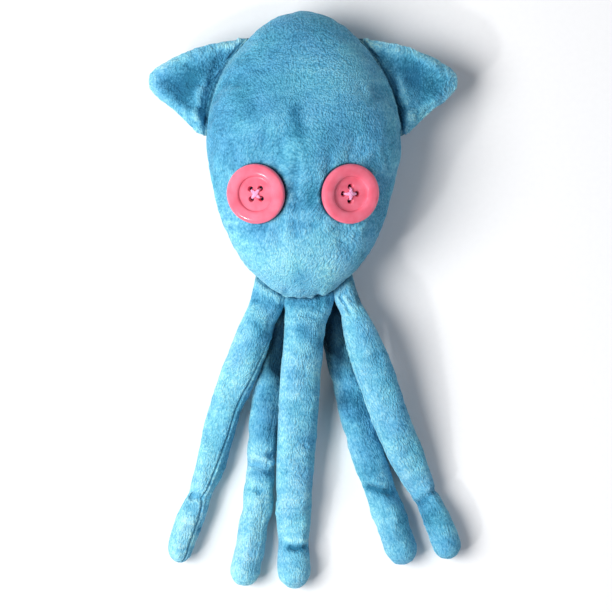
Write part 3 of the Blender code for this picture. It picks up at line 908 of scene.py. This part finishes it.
def distance_to_outline(points, normals, wanted):
    """Distance in plan from each point to the nearest of those on the outline."""
    outline = points[(np.abs(normals[:, 2]) < 0.25) & wanted][::4]
    tree = KDTree(len(outline))
    for index, place in enumerate(outline):
        tree.insert((place[0], place[1], 0.0), index)
    tree.balance()
    return np.array([tree.find((place[0], place[1], 0.0))[2] for place in points])


def make_fin(side_name, side):
    """The filling keeps to the rim, the middle is slack, and a fold stands along the seam."""
    node = f"fin_{side_name}"
    fin = copy_of_node(node, f"{node}_cloth")
    tuck_in(fin, (-side, 0.0, 0.0))
    even_mesh(fin, FIN_SPACING, 0.5 * MM)
    points = points_of(fin)
    normals = normals_of(fin)
    near_root = 1 - soft((distance_to_mantle(points) - 1 * MM) / (4 * MM))
    on_edge = soft((0.45 - np.abs(normals[:, 2])) / 0.15)
    held = np.clip(np.maximum(near_root, on_edge), 0.0, 1.0)
    fill(fin, held, FIN_SLACK, FIN_BULGE)
    refine(fin)

    points = points_of(fin)
    normals = normals_of(fin)
    root = distance_to_mantle(points) / MM
    sewn = np.exp(-np.maximum(root - 1, 0.0) / 4.5) * soft(normals[:, 2] ** 2)
    gathers = 0.45 * waves(points * (0.15, 1.0, 0.3), 3.6 * MM, 21)
    edge = soft((0.3 - np.abs(normals[:, 2])) / 0.3)
    drawn_in = 0.4 + 0.08 * waves(points, 3.4 * MM, 22)
    move_out(fin, (gathers * sewn - drawn_in * edge) * MM)

    free = (root > 5) | ((root > 1) & (np.abs(normals[:, 1]) > 0.85))
    inside = distance_to_outline(points, normals, free) / MM
    rim = 1.1 * bump_at(inside - 3.6, 2.6) - 1.7 * soft((inside - 5) / 7)
    above_low_end = soft((points[:, 1] - 94 * MM) / (9 * MM))
    below_top_end = soft((134 * MM - points[:, 1]) / (12 * MM))
    crest = 6.6 + 0.9 * waves(points, 11 * MM, 24)
    fold = bump_at(root - crest, 4.0) * above_low_end * below_top_end * soft((inside - 1) / 6)
    valley = 1.1 * bump_at(root - 0.8, 1.0)
    move_out(fin, (rim + 3.2 * fold - valley) * facing_up(normals) * MM)
    raise_pile(fin, 23 + side, 0.12 * MM)
    keep_above_floor(fin)

    points = points_of(fin)
    swirl = three_waves(points, 18 * MM, (25, 26, 27))
    write_attribute(fin, "nap", "FLOAT_VECTOR", points * FIN_NAP + swirl * 5 * MM)
    strokes = ((60 * side, 126, 72 * side, 118, 9, 0.8), (58 * side, 110, 62 * side, 102, 6, 0.6))
    # Painted light: the pile is drawn lighter along the fold's crest and near the outline, where
    # the lamps catch them; painted shade darkens the valley along the seam to the mantle
    lie_and_painted_light = 0.65 - 0.85 * fold - 0.85 * bump_at(inside - 1, 4)
    brush(fin, strokes, lie_and_painted_light, painted_recess_shade=0.6 * bump_at(root - 0.6, 0.9), tousled=0.5)
    write_hollows(fin)
    finish_piece(fin, PLUSH, node)


# Limbs


def centre_line(node):
    """Middle of a limb at places along it, from the tip up: y, x, z and arc length."""
    points = np.array([vertex.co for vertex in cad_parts[node].data.vertices])
    step, window, fewest = 7 * MM, 9 * MM, 7
    rows = []
    for start in np.arange(points[:, 1].min(), points[:, 1].max(), step)[:-1]:
        inside = points[(points[:, 1] >= start) & (points[:, 1] < start + window)]
        if len(inside) >= fewest:
            rows.append((start + window / 2, *((inside.min(0) + inside.max(0)) / 2)[[0, 2]]))
    line = np.array(rows)
    length = np.concatenate(([0.0], np.cumsum(np.linalg.norm(np.diff(line, axis=0), axis=1))))
    return line[:, 0], line[:, 1], line[:, 2], length


def along_limb(points, line):
    """Each point's place on a limb: across it, along it, above its middle, and its angle."""
    line_y, line_x, line_z, length = line
    middle_x = np.interp(points[:, 1], line_y, line_x)
    middle_z = np.interp(points[:, 1], line_y, line_z)
    slope = np.interp(points[:, 1], line_y, np.gradient(line_x, line_y))
    size = np.sqrt(1 + slope**2)
    off = points[:, 0] - middle_x
    across = off / size
    along = np.interp(points[:, 1], line_y, length) + off * slope / size
    above = points[:, 2] - middle_z
    return across, along, above, np.arctan2(above, across)


def off_the_seam(points, line, seam):
    """Distance from the seam round a limb, which is rows of (y in mm, degrees from +X)."""
    across, along, above, angle = along_limb(points, line)
    places, degrees = zip(*seam)
    seam_angle = np.radians(np.interp(points[:, 1] / MM, places, degrees))
    away = np.abs(np.remainder(angle - seam_angle + math.pi, 2 * math.pi) - math.pi)
    return away * np.hypot(across, above), along


def sew_limb(limb, line, seam, strength, seed):
    """The seam along a limb: a narrow valley, puckered on both sides."""
    points = points_of(limb)
    away, along = off_the_seam(points, line, seam)
    puckers = waves_along(along, 2.6 * MM, seed) + 0.6 * waves_along(along, 1.7 * MM, seed + 1)
    puckers = 0.16 * puckers * bump_at(away - 0.9 * MM, 1.4 * MM)
    valley = -0.7 * bump_at(away, 0.6 * MM) + 0.22 * bump_at(away - 1.4 * MM, 0.8 * MM)
    shown = strength * soft((-10 * MM - points[:, 1]) / (30 * MM))
    move_out(limb, (valley + puckers) * shown * MM)


def shift_sides(limb, line, rows):
    """Moves the left and the right side of a limb towards +X, by rows of (y, left, right) in mm."""
    points = points_of(limb)
    across, _, _, _ = along_limb(points, line)
    places, left, right = (np.array(values, float) for values in zip(*rows))
    share = soft(across / (12 * MM) + 0.5)
    height = points[:, 1] / MM
    move = (1 - share) * np.interp(height, places, left) + share * np.interp(height, places, right)
    points[:, 0] += move * MM
    put_points(limb, points)


def gather_root(limb):
    """Pleats where a limb of the front row is sewn in."""
    points = points_of(limb)
    pleats = waves(points * (1.0, 0.2, 0.0), 3.4 * MM, 61)
    pleats += 0.4 * waves(points * (1.0, 0.15, 0.0), 1.9 * MM, 62)
    gathered = soft((points[:, 1] + 9 * MM) / (10 * MM))
    move_out(limb, 0.5 * MM * pleats * gathered * facing_up(normals_of(limb)))


# What sets the limbs apart, with lengths in mm:
# seam: where it lies, as (y, degrees from the limb's +X side)
# seam_depth: how deep it is drawn, 1 at most
# sides: how far the left and the right side lie off the imported model towards +X, as (y, left,
#   right). The roots of the front row spread until they meet
# folds: (path, depth, width)
# pinches: (x, y, depth, width)
# strokes: where hands left the pile darker, or lighter, as (x, y, x, y, width, share). Many are
# painted
#   shade, in the creases of folds, on a limb's shaded side and in crevices by the roots, and the
#   light ones on fold ridges are painted highlights
# painted_shade: painted shade in crevices between pieces, written the same way
LIMBS = {
    "arm_back_left": {
        "seam": ((0, 60),),
        "seam_depth": 0.2,
        "sides": (
            (-166, -0.6, -1.4), (-130, -0.5, -0.9), (-118, -0.2, -0.3), (-104, 0.4, 0.0),
            (-95, 0.0, 0.0),
        ),
        "folds": (
            (((-31, -92), (-24, -94.5), (-16, -99)), 1.8, 2.6),
            (((-31, -87.5), (-23, -89.5), (-15, -93)), -1.0, 2.4),
            (((-22, -86), (-18, -89)), 0.9, 2.2), (((-29, -106), (-24, -109)), 0.9, 2.2),
        ),
        "pinches": ((-18.5, -88, 1.0, 2.4),),
        "strokes": (
            (-28, -98, -20, -100, 4, 0.7), (-27, -107, -25, -108, 3, 0.5),
            (-24, -72, -18, -36, 8, 0.7), (-26, -100, -40, -160, 12, -0.3),
        ),
        "painted_shade": ((-6, -4, -15, -34, 9, 1.3), (-14, -34, -17, -72, 6, 0.5)),
    },
    "arm_back_right": {
        "seam": ((0, 120),),
        "seam_depth": 0.2,
        "sides": ((-160, -1.4, -1.4), (-120, -1.2, -0.8), (-95, 0.0, 0.0)),
        "folds": (
            (((35, -105.5), (42, -107.5), (50, -109)), 1.7, 2.2),
            (((34, -101), (48, -105)), -0.6, 2.4),
        ),
        "pinches": (),
        "strokes": (
            (20, -34, 27, -58, 8, 0.9), (30, -70, 38, -92, 8, 0.5),
            (36, -106, 48, -109, 2.8, 1.2), (52, -112, 58, -130, 4, 0.4),
            (30, -60, 62, -150, 14, 0.35),
        ),
        "painted_shade": (
            (14, -4, 17, -20, 8, 1.5), (18, -22, 21, -34, 7, 0.6), (14, -34, 20, -56, 5, 0.5),
        ),
    },
    "arm_centre": {
        "seam": ((0, 0),),
        "seam_depth": 0.4,
        "sides": (
            (-166, 1.6, 0.4), (-152, 0.8, 1.4), (-140, 0.5, 1.8), (-128, 1.2, 1.6),
            (-60, 1.0, 1.2), (-30, 0.0, 0.5), (-13, 0.0, 0.0), (1, -1.6, 3.2),
        ),
        "folds": (
            (((-10, -139.6), (-5, -141.2), (3, -139.6)), 1.8, 1.7),
            (((-10, -136.4), (-5, -137.6), (2, -136.6)), -0.6, 2.0),
            (((-1, -81.4), (2, -83.6)), 0.8, 1.3),
        ),
        "pinches": (),
        "strokes": (
            (-2, -16, 8, -24, 4, 0.8), (-11, 0, 14, 1, 4.5, 1.0), (-9, -141, 3, -140.6, 2.4, 1.2),
            (8, -60, 6, -130, 5, 0.4), (-10, -136, 3, -136.6, 1.8, -0.5),
            (-2, -79, 4, -80, 2.5, 0.5), (-6, -62, 4, -64, 4, 0.3),
        ),
        "painted_shade": (),
    },
    "tentacle_left": {
        "seam": ((-130, 50), (-101, 60), (-56, 40), (-20, 22)),
        "seam_depth": 1.0,
        "sides": (
            (-155, 1.6, -0.8), (-115, 1.2, -0.6), (-100, 0.4, 0.0), (-80, 0.8, 0.0),
            (-13, 0.4, 0.0), (1, 1.0, 3.4),
        ),
        "folds": (
            (((-66, -110.5), (-58, -112.5)), 1.2, 2.0),
            (((-60.5, -130), (-57.5, -133)), 0.9, 2.2), (((-63, -106), (-54, -108)), -0.5, 2.6),
        ),
        "pinches": ((-64.5, -110.8, 1.2, 2.2),),
        "strokes": (
            (-28, 2, -15, -4, 4, 0.8), (-27, -14, -22, -19, 4, 0.8), (-30, -24, -27, -30, 4, 0.4),
            (-60, -131, -58, -134, 4, 0.5), (-64, -122, -74, -152, 7, -0.3),
            (-34, -60, -44, -84, 8, 0.3), (-24, -36, -35, -62, 4, 0.5),
            (-36, -64, -53, -134, 3.5, 0.6),
        ),
        "painted_shade": (),
    },
    "tentacle_right": {
        "seam": ((0, 165),),
        "seam_depth": 0.5,
        "sides": (
            (-110, 0.0, -0.3), (-60, 0.0, -1.6), (-20, 0.0, -2.3), (-8, 0.0, -2.2),
            (1, -2.2, -2.4),
        ),
        "folds": (
            (((76, -107), (70, -112), (63, -117)), 1.6, 2.0),
            (((74, -103), (68, -108), (61, -113)), -0.6, 2.2),
            (((19.4, 3.5), (23, -2), (26.5, -8)), 1.3, 1.1),
            (((21.2, 4.2), (25.4, -1.4), (29, -7)), -0.5, 1.2),
        ),
        "pinches": ((75.5, -107.5, 1.3, 2.2), (63, -117, 0.8, 2.2)),
        "strokes": (
            (66, -116, 70, -124, 6, 0.6), (40, -30, 44, -44, 5, 0.3),
            (72, -118, 82, -146, 9, 0.45), (34, -20, 72, -104, 14, 0.25),
            (50, -30, 78, -100, 5, 0.3),
        ),
        "painted_shade": ((27, 10, 31, 0, 2.5, 0.6),),
    },
}


def make_limb(name, seed):
    own = LIMBS[name]
    line = centre_line(name)
    limb = copy_of_node(name, f"{name}_cloth")
    tuck_in(limb, (0.0, 1.0, 0.0))
    even_mesh(limb, LIMB_SPACING, -0.1 * MM)  # a little larger: the easing below thins it
    points = points_of(limb)
    off_seam, _ = off_the_seam(points, line, own["seam"])
    on_seam = 1 - soft((off_seam - 0.8 * MM) / (1.6 * MM))
    near_root = 1 - soft((distance_to_mantle(points) - 1 * MM) / (6 * MM))
    lying = 1 - soft((points[:, 2] - 0.2 * MM) / (1.5 * MM))
    held = np.clip(np.maximum.reduce([on_seam, near_root, lying]), 0.0, 1.0)
    fill(limb, held, LIMB_SLACK, LIMB_BULGE)
    refine(limb, eased=5)

    shift_sides(limb, line, own["sides"])
    if not name.startswith("arm_back"):
        gather_root(limb)
    drawn_in = bump_at(distance_to_mantle_if_near(points_of(limb)), 2.2 * MM)
    move_out(limb, -1.5 * MM * drawn_in * facing_up(normals_of(limb)))
    for fold in own["folds"]:
        press(limb, *fold)
    for spot in own["pinches"]:
        pinch(limb, *spot)
    sew_limb(limb, line, own["seam"], own["seam_depth"], seed)
    raise_pile(limb, seed + 2, 0.12 * MM)
    keep_above_floor(limb)

    # Each limb takes a stretch of the patterns of its own
    across, along, above, _ = along_limb(points_of(limb), line)
    nap = np.stack([across, along + 0.4 * seed, above], 1) * LIMB_NAP
    write_attribute(limb, "nap", "FLOAT_VECTOR", nap)
    # Painted light and shade: each limb is drawn lighter on its -X side, towards the lamp, and
    # darker on its +X side; painted shade falls where the limb is drawn in at the mantle
    lie_and_painted_light = -0.06 + 0.12 * np.clip(across / (8 * MM), -1.0, 1.0)
    brush(limb, own["strokes"], lie_and_painted_light, own["painted_shade"], 0.5 * drawn_in)
    write_hollows(limb)
    finish_piece(limb, PLUSH, name)


# Stage


def lay_floor():
    deselect_all()
    bpy.ops.mesh.primitive_grid_add(
        x_subdivisions=8, y_subdivisions=8, size=8.0, location=(0.0, 0.0, -FLOOR_GAP),
    )
    floor = bpy.context.active_object
    floor.name = "floor"
    floor.data.materials.append(PAPER)


def area_light(name, place, size, power, colour, glints=True):
    """A round lamp that faces the toy. Without glints it isn't mirrored in the buttons."""
    data = bpy.data.lights.new(name, "AREA")
    data.shape = "DISK"
    data.size = size
    data.energy = power
    data.color = linear(colour)[:3]
    lamp = bpy.data.objects.new(name, data)
    bpy.context.scene.collection.objects.link(lamp)
    lamp.location = place
    lamp.visible_glossy = glints
    lamp.rotation_euler = (AIM - Vector(place)).to_track_quat("-Z", "Y").to_euler()


def light_the_stage():
    world = bpy.data.worlds.new("studio")
    world.use_nodes = True
    world.node_tree.nodes["Background"].inputs["Color"].default_value = linear("#F4F8FF")
    world.node_tree.nodes["Background"].inputs["Strength"].default_value = 0.2
    bpy.context.scene.world = world
    area_light("window", (-1.0, -0.05, 1.2), 1.1, 29.0, "#FFFFFF", glints=False)
    area_light("pane", (-1.1, -0.8, 1.1), 0.14, 6.0, "#FFFFFF")
    area_light("room", (1.2, -0.4, 0.9), 0.8, 3.6, "#F6F4FF", glints=False)


def aim_camera():
    data = bpy.data.cameras.new("camera")
    data.sensor_width = SENSOR_WIDTH
    data.lens = SENSOR_WIDTH * (CAMERA_HEIGHT - AIM.z) / FRAME_WIDTH
    camera = bpy.data.objects.new("camera", data)
    bpy.context.scene.collection.objects.link(camera)
    camera.location = (AIM.x, AIM.y, CAMERA_HEIGHT)
    bpy.context.scene.camera = camera


make_mantle()
make_fin("left", -1)
make_fin("right", 1)
for number, name in enumerate(LIMBS):
    make_limb(name, 31 + 5 * number)
for side in ("left", "right"):
    make_button(side)
    make_thread(side)
lay_floor()
light_the_stage()
aim_camera()
bpy.context.scene.view_settings.view_transform = "Standard"
